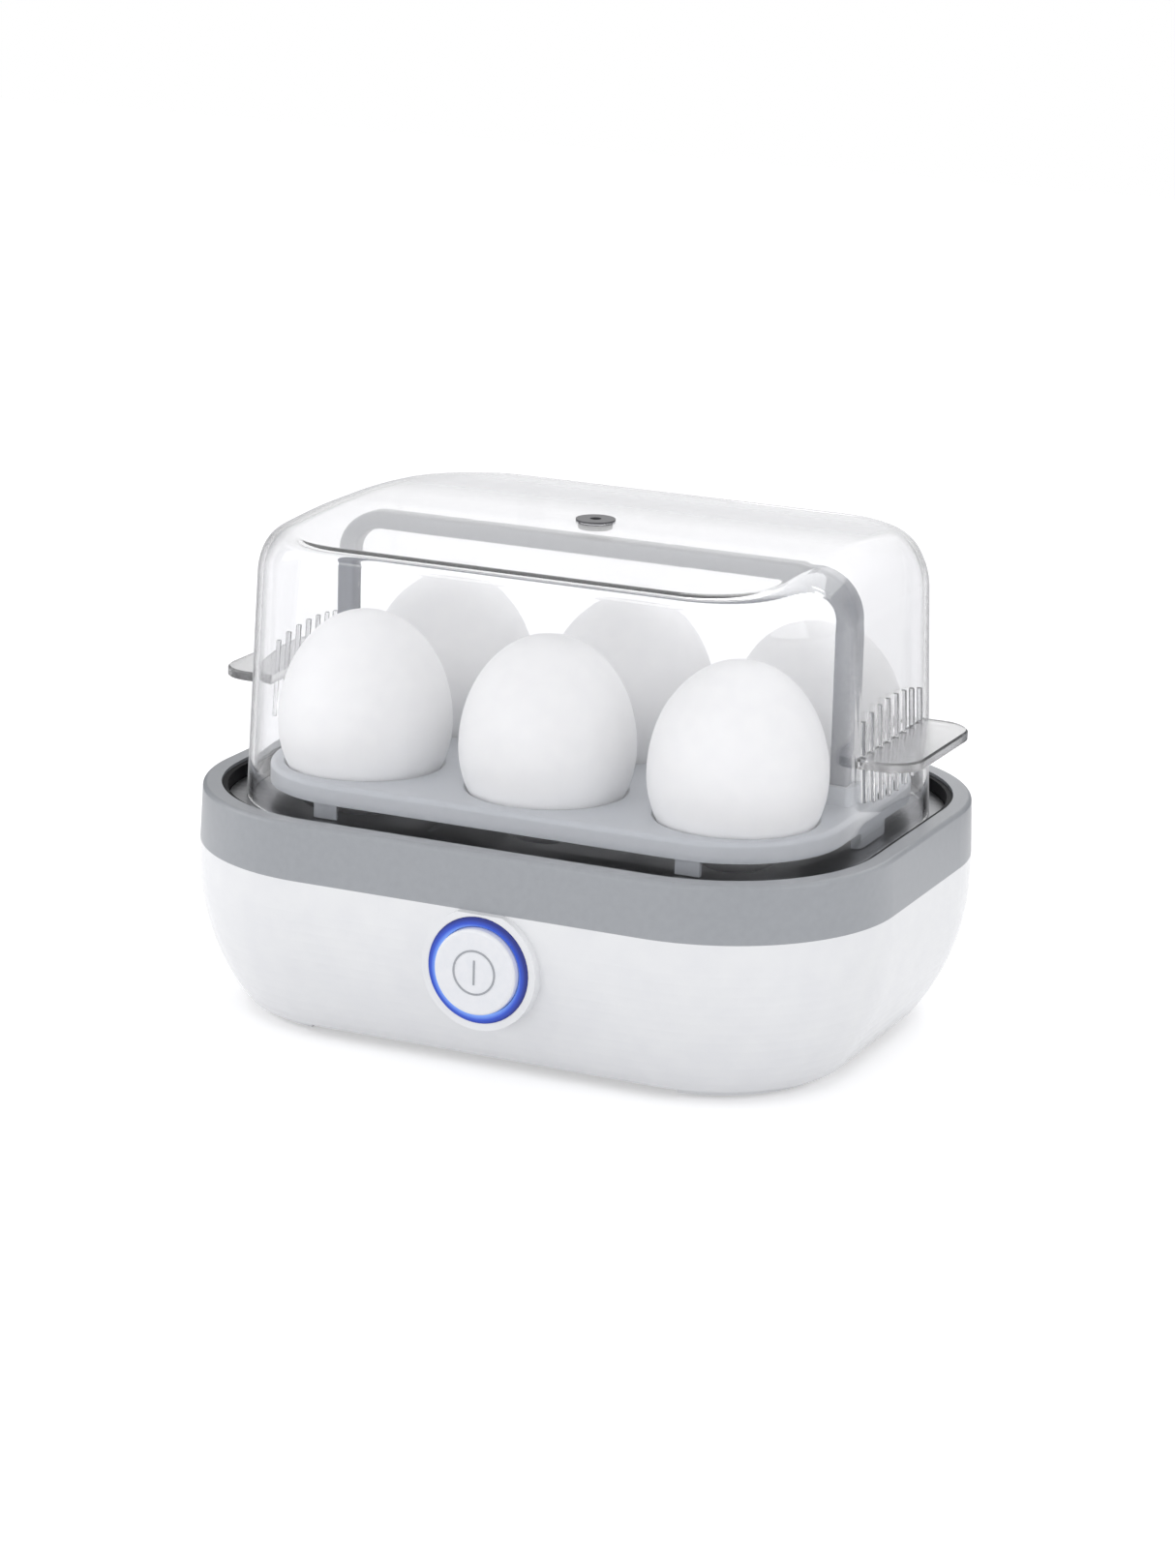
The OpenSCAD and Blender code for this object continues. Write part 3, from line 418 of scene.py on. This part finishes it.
nodeFinish = {
    "base_housing": "whiteGloss", "bottom_cover": "whiteGloss", "button_guide": "whiteGloss",
    "button_cap": "buttonWhite", "button_symbol": "symbolGrey", "trim_ring": "ringGrey",
    "inner_liner": "linerBlack", "rubber_feet": "rubber", "heating_bowl": "bowlSteel",
    "heat_spreader": "aluminium", "heating_element": "elementSheath",
    "element_insulators": "ceramicWhite", "thermal_fuse": "fuseBrass",
    "cover_screws": "plainSteel", "liner_screws": "plainSteel", "bowl_clips": "plainSteel",
    "thermostat_clip": "plainSteel", "fuse_bracket": "plainSteel", "board_bracket": "plainSteel",
    "bracket_screws": "plainSteel", "button_spring": "plainSteel",
    "thermostat": "blackPart", "buzzer": "blackPart", "switch_body": "blackPart",
    "cord_gland": "blackPart", "control_board": "boardGreen", "terminal_block": "blockCream",
    "status_leds": "blueGlow", "light_ring": "blueGlow", "egg_rack": "rackGrey",
    "rack_handle": "handleGrey", "eggs": "eggshell", "lid": "clearPlastic",
    "vent_insert": "ventDark",
}
for name, finish in nodeFinish.items():
    cad[name].material_slots[0].material = finishes[finish]

sharpAngle = radians(50)      # edges sharper than this are rounded
mergeDistance = 0.00001


def freshStart():
    if bpy.context.object and bpy.context.object.mode != "OBJECT":
        bpy.ops.object.mode_set(mode="OBJECT")
    bpy.ops.object.select_all(action="DESELECT")


def choose(piece):
    freshStart()
    piece.select_set(True)
    bpy.context.view_layer.objects.active = piece


# names a finished piece, smooths it, and lets it ride on its body
def settle(piece, name, finish, body, angle):
    choose(piece)
    bpy.ops.object.transform_apply(location=True, rotation=True, scale=True)
    bpy.ops.object.shade_smooth_by_angle(angle=radians(angle))
    piece.name = piece.data.name = name
    if not piece.data.materials:
        piece.data.materials.append(finishes[finish])
    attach(piece, body)
    return piece


# an outline of (radius, height) points spun round Z
def turnPiece(profile, steps):
    freshStart()
    bpy.ops.mesh.primitive_plane_add(size=0.001)
    piece = bpy.context.object
    bpy.ops.object.mode_set(mode="EDIT")
    bpy.ops.mesh.select_mode(type="VERT")
    bpy.ops.mesh.select_all(action="SELECT")
    bpy.ops.mesh.merge(type="CENTER")
    bpy.ops.transform.translate(value=(profile[0][0], 0, profile[0][1]))
    for (r0, z0), (r1, z1) in zip(profile, profile[1:]):
        bpy.ops.mesh.extrude_region_move(TRANSFORM_OT_translate={"value": (r1 - r0, 0, z1 - z0)})
    bpy.ops.mesh.select_all(action="SELECT")
    bpy.ops.mesh.spin(steps=steps, angle=2 * pi, center=(0, 0, 0), axis=(0, 0, 1))
    bpy.ops.mesh.select_all(action="SELECT")
    bpy.ops.mesh.remove_doubles(threshold=mergeDistance)
    bpy.ops.mesh.normals_make_consistent(inside=False)
    bpy.ops.object.mode_set(mode="OBJECT")
    return piece


# a flat plate of rounded plan, one face, left in edit mode with that face selected
def roundedPlate(length, width, radius, z, steps, centre=(0, 0)):
    freshStart()
    bpy.ops.mesh.primitive_plane_add(size=1, location=(*centre, z))
    piece = bpy.context.object
    piece.scale = (length, width, 1)
    bpy.ops.object.transform_apply(location=True, scale=True)
    bpy.ops.object.mode_set(mode="EDIT")
    bpy.ops.mesh.select_mode(type="VERT")
    bpy.ops.mesh.select_all(action="SELECT")
    bpy.ops.mesh.bevel(offset=radius, segments=steps, affect="VERTICES", clamp_overlap=False)
    bpy.ops.mesh.select_mode(type="FACE")
    bpy.ops.mesh.select_all(action="SELECT")
    return piece


# draws the chosen face in and raises it, level by level: (inset, rise)
def climb(levels):
    for inset, rise in levels:
        if inset > 0:
            bpy.ops.mesh.inset(thickness=inset, depth=0, use_even_offset=True)
            bpy.ops.transform.translate(value=(0, 0, rise))
        else:
            bpy.ops.mesh.extrude_region_move(TRANSFORM_OT_translate={"value": (0, 0, rise)})


def useModifier(piece, kind, **settings):
    choose(piece)
    modifier = piece.modifiers.new(kind.title(), kind)
    for key, value in settings.items():
        setattr(modifier, key, value)
    bpy.ops.object.modifier_apply(modifier=modifier.name)


# adds a part to a piece, or cuts it out, as one closed body
def joinTo(piece, part, operation="UNION"):
    useModifier(piece, "BOOLEAN", operation=operation, solver="EXACT", material_mode="TRANSFER",
                object=part)
    bpy.data.objects.remove(part)


# a rounded clear shell, with a flat grip and a comb of ribs at each end
lidShape = {
    "length": 171 * mm, "width": 118 * mm, "corner": 38 * mm, "wall": 1.5 * mm,
    "draft": 3.2 * mm, "sideDraft": 1.6 * mm, "cornerPull": 1.0,
    "topRound": 16 * mm, "sideRound": 3.6 * mm, "crown": 2.6 * mm,
    "cornerSteps": 20, "roundSteps": 12, "straightCuts": 15, "lowerLoops": 4, "upperLoops": 6,
    "topLoops": (0.985, 0.95, 0.88, 0.78, 0.66, 0.53, 0.4, 0.27, 0.16, 0.1), "loopLift": 0.02 * mm,
    "gripWidth": 48 * mm, "gripReach": 13.5 * mm, "gripTop": 28 * mm, "gripThick": 2.4 * mm,
    "gripCorner": 9 * mm, "gripEdge": 0.5 * mm, "gripSteps": 10,
    "gripLean": 0.45, "gripRoot": 0.6,           # shares of the draft and of the wall
    "ribs": 8, "ribMargin": 4.2 * mm, "ribThick": 1.3 * mm, "ribUp": 11.2 * mm, "ribDown": 12 * mm,
    "ribArc": 2.3 * mm, "ribProud": 1.2 * mm, "ribEdge": 0.3 * mm, "ribEdgeSteps": 2,
    "ventHole": 4.6 * mm, "ventSteps": 48, "ventCut": 8 * mm, "ventLevel": 1.4,
    "smooth": 30,
}


# (height, half length, half width, corner radius) from the lower edge to the middle of the top
def loopsOfLid(s, low, high):
    halfLong, halfWide, corner = s["length"] / 2, s["width"] / 2, s["corner"]
    rim = high - s["crown"]
    endFoot, sideFoot = high - s["topRound"], rim - s["sideRound"]
    lower, upper, steps = s["lowerLoops"], s["upperLoops"], s["roundSteps"]
    heights = [low + (endFoot - low) * i / lower for i in range(lower + 1)]
    heights += [endFoot + (sideFoot - endFoot) * i / upper for i in range(1, upper + 1)]
    heights += [sideFoot + s["sideRound"] * sin(pi / 2 * i / steps) for i in range(1, steps + 1)]
    loops = []
    for z in heights:
        up = min(1, (z - low) / (endFoot - low))
        long = halfLong - s["draft"] * up
        if z > endFoot:
            long -= s["topRound"] * (1 - sqrt(1 - min(1, (z - endFoot) / (rim - endFoot)) ** 2))
        wide = halfWide - s["sideDraft"] * min(1, (z - low) / (sideFoot - low))
        if z > sideFoot:
            wide -= s["sideRound"] * (1 - sqrt(max(0, 1 - ((z - sideFoot) / s["sideRound"]) ** 2)))
        loops.append((z, long, wide, corner - s["cornerPull"] * (halfLong - long)))
    z, long, wide, corner = loops[-1]
    # each loop is a hair above the last, so that the bridge finds their order
    loops += [(z + s["loopLift"] * (1 - share), long * share, wide * share, corner * share)
              for share in s["topLoops"]]
    return loops


def shellOfLid(s, low, high):
    plates = [roundedPlate(2 * long, 2 * wide, corner, z, s["cornerSteps"])
              for z, long, wide, corner in loopsOfLid(s, low, high)]
    for plate in plates:
        bpy.ops.object.mode_set(mode="OBJECT")
        choose(plate)
        bpy.ops.object.mode_set(mode="EDIT")
        bpy.ops.mesh.select_mode(type="EDGE")
        bpy.ops.mesh.select_all(action="DESELECT")
        bpy.ops.object.mode_set(mode="OBJECT")
        # the four straight sides are cut up, so that the crown has vertices to raise
        for edge in plate.data.edges:
            start, end = (plate.data.vertices[i].co for i in edge.vertices)
            way = end - start
            edge.select = min(abs(way.x), abs(way.y)) < 0.001 * mm
        bpy.ops.object.mode_set(mode="EDIT")
        bpy.ops.mesh.subdivide(number_cuts=s["straightCuts"])
        if plate is not plates[-1]:
            bpy.ops.mesh.select_all(action="SELECT")
            bpy.ops.mesh.delete(type="ONLY_FACE")
        bpy.ops.object.mode_set(mode="OBJECT")
    freshStart()
    for plate in plates:
        plate.select_set(True)
    shell = plates[0]
    bpy.context.view_layer.objects.active = shell
    bpy.ops.object.join()
    bpy.ops.object.mode_set(mode="EDIT")
    bpy.ops.mesh.select_mode(type="EDGE")
    bpy.ops.mesh.select_all(action="SELECT")
    bpy.ops.mesh.bridge_edge_loops()
    bpy.ops.mesh.select_all(action="SELECT")
    bpy.ops.mesh.normals_make_consistent(inside=False)
    bpy.ops.object.mode_set(mode="OBJECT")
    # the top is crowned from front to back, and its middle is level round the vent
    foot, rim = high - s["topRound"], high - s["crown"]
    reach, level = s["width"] / 2 - s["sideDraft"], s["ventHole"] * s["ventLevel"]
    for vertex in shell.data.vertices:
        if vertex.co.z > foot:
            away = min(1, max(0, abs(vertex.co.y) - level) / (reach - level))
            rise = s["crown"] * (1 + cos(pi * away)) / 2
            vertex.co.z = foot + (vertex.co.z - foot) * (rim + rise - foot) / (rim - foot)
    useModifier(shell, "SOLIDIFY", thickness=s["wall"], offset=-1, use_even_offset=True)
    return shell


def gripOfLid(s, low, side):
    start = s["length"] / 2 - s["draft"] * s["gripLean"] - s["wall"] * s["gripRoot"]
    end = s["length"] / 2 + s["gripReach"]
    corner = s["gripCorner"]
    # the plate runs on under the wall, and its inner part is cut off square
    grip = roundedPlate((end - start) + corner, s["gripWidth"], corner,
                        low + s["gripTop"] - s["gripThick"], s["gripSteps"],
                        (side * ((end + start) / 2 - corner / 2), 0))
    edge = s["gripEdge"]
    climb([(0, s["gripThick"] - edge), (edge, edge)])
    bpy.ops.mesh.select_all(action="SELECT")
    bpy.ops.mesh.select_mode(type="EDGE")
    bpy.ops.mesh.edge_face_add()
    bpy.ops.mesh.select_all(action="SELECT")
    bpy.ops.mesh.normals_make_consistent(inside=False)
    bpy.ops.mesh.bisect(plane_co=(side * start, 0, 0), plane_no=(side, 0, 0), use_fill=True,
                        clear_inner=True)
    bpy.ops.object.mode_set(mode="OBJECT")
    grip.data.materials.append(finishes["frostedGrip"])
    return grip


# one rib, leaning in with the wall that it stands on
def ribOfLid(s, low, high, side, step):
    share = 2 * step / (s["ribs"] - 1) - 1
    drop = s["ribArc"] * share ** 2
    foot = low + s["gripTop"] - s["gripThick"] - s["ribDown"] + drop
    head = low + s["gripTop"] + s["ribUp"] - drop
    lean = s["draft"] / (high - low - s["topRound"])
    freshStart()
    bpy.ops.mesh.primitive_cube_add(size=1, location=(0, 0, (foot + head) / 2))
    rib = bpy.context.object
    rib.scale = (s["ribProud"] + s["wall"] / 2, s["ribThick"], head - foot)
    bpy.ops.object.transform_apply(location=True, scale=True)
    for vertex in rib.data.vertices:
        wall = s["length"] / 2 - lean * (vertex.co.z - low)
        vertex.co.x = side * (wall + (s["ribProud"] if vertex.co.x > 0 else -s["wall"] / 2))
        vertex.co.y += share * (s["gripWidth"] / 2 - s["ribMargin"])
    bpy.ops.object.mode_set(mode="EDIT")
    bpy.ops.mesh.select_all(action="SELECT")
    bpy.ops.mesh.normals_make_consistent(inside=False)
    bpy.ops.object.mode_set(mode="OBJECT")
    useModifier(rib, "BEVEL", width=s["ribEdge"], segments=s["ribEdgeSteps"],
                limit_method="ANGLE", angle_limit=sharpAngle)
    rib.data.materials.append(finishes["frostedGrip"])
    return rib


lidLow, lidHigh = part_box("lid")
lidFoot, lidTop = lidLow.z, lidHigh.z
lid = shellOfLid(lidShape, lidFoot, lidTop)
lid.data.materials.append(finishes["clearPlastic"])
for side in (-1, 1):
    joinTo(lid, gripOfLid(lidShape, lidFoot, side))
    for step in range(lidShape["ribs"]):
        joinTo(lid, ribOfLid(lidShape, lidFoot, lidTop, side, step))
freshStart()
bpy.ops.mesh.primitive_cylinder_add(vertices=lidShape["ventSteps"], radius=lidShape["ventHole"],
                                    depth=lidShape["ventCut"], location=(0, 0, lidTop))
joinTo(lid, bpy.context.object, "DIFFERENCE")
print("lid:", len(lid.data.polygons), "faces")
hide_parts("lid")
settle(lid, "lidShell", "clearPlastic", "lid", lidShape["smooth"])

# a flat bar bent to an arch, with soft edges
handleShape = {
    "thick": 5 * mm, "bend": 13 * mm, "bendSteps": 14, "edge": 0.9 * mm, "edgeSteps": 4,
    "smooth": 30,
}


# points along the outside of the arch, as (x, z)
def archOfHandle(s, reach, top, bottom):
    bend, flat = s["bend"], reach - s["bend"]
    half = [(reach, bottom), (reach, (bottom + top - bend) / 2)]
    for i in range(s["bendSteps"] + 1):
        turn = pi / 2 * i / s["bendSteps"]
        half.append((flat + bend * cos(turn), top - bend + bend * sin(turn)))
    half.append((0, top))
    return half + [(-x, z) for x, z in reversed(half[:-1])]


def makeHandle(s):
    low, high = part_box("rack_handle")
    arch = archOfHandle(s, high.x, high.z, low.z)
    freshStart()
    bpy.ops.mesh.primitive_grid_add(x_subdivisions=len(arch) - 1, y_subdivisions=1, size=1)
    handle = bpy.context.object
    for vertex in handle.data.vertices:
        x, z = arch[round((vertex.co.x + 0.5) * (len(arch) - 1))]
        vertex.co = (x, high.y if vertex.co.y > 0 else low.y, z)
    # the outside of the arch faces up at its crown
    crown = max(handle.data.polygons, key=lambda face: face.center.z)
    if crown.normal.z < 0:
        handle.data.flip_normals()
    useModifier(handle, "SOLIDIFY", thickness=s["thick"], offset=-1, use_even_offset=True)
    useModifier(handle, "BEVEL", width=s["edge"], segments=s["edgeSteps"],
                limit_method="ANGLE", angle_limit=sharpAngle)
    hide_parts("rack_handle")
    return settle(handle, "handleArch", "handleGrey", "rack", s["smooth"])


handle = makeHandle(handleShape)
print("handle:", len(handle.data.polygons), "faces")

# six eggs, each standing in its cup
eggShape = {
    "belowShare": 1.1 / 2.38,                    # of its height, what lies below its widest part
    "profileSteps": 20, "turnSteps": 72,
    "turnByColumn": 0.9, "turnByRow": 2.1,       # so that no two stand alike
    "columnShare": 3.2,                          # the middle column lies within the reach divided by this
    "smooth": 60,
}


def makeEgg(s, radius, low, high):
    below = (high - low) * s["belowShare"]
    above = high - low - below
    steps = s["profileSteps"]
    outline = [(radius * sin(pi / 2 * i / steps), low + below * (1 - cos(pi / 2 * i / steps)))
               for i in range(steps + 1)]
    outline += [(radius * cos(pi / 2 * i / steps), low + below + above * sin(pi / 2 * i / steps))
                for i in range(1, steps + 1)]
    outline[-1] = (0, high)
    return turnPiece(outline, s["turnSteps"])


def layEggs(s):
    low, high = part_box("eggs")
    reachX, reachY = high.x, high.y
    # the middle column's eggs tell the radius
    radius = max(v.co.x for v in cad["eggs"].data.vertices if abs(v.co.x) < reachX / s["columnShare"])
    first = makeEgg(s, radius, low.z, high.z)
    for row, side in (("front", -1), ("back", 1)):
        for column, place in (("left", -1), ("middle", 0), ("right", 1)):
            egg = first.copy()
            egg.data = first.data.copy()
            scene.collection.objects.link(egg)
            egg.rotation_euler = (0, 0, s["turnByColumn"] * place + s["turnByRow"] * side)
            egg.location = (place * (reachX - radius), side * (reachY - radius), 0)
            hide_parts("eggs")
            settle(egg, "egg_" + row + "_" + column, "eggshell", "rack",
                   s["smooth"])
    bpy.data.objects.remove(first)


layEggs(eggShape)
print("eggs laid")
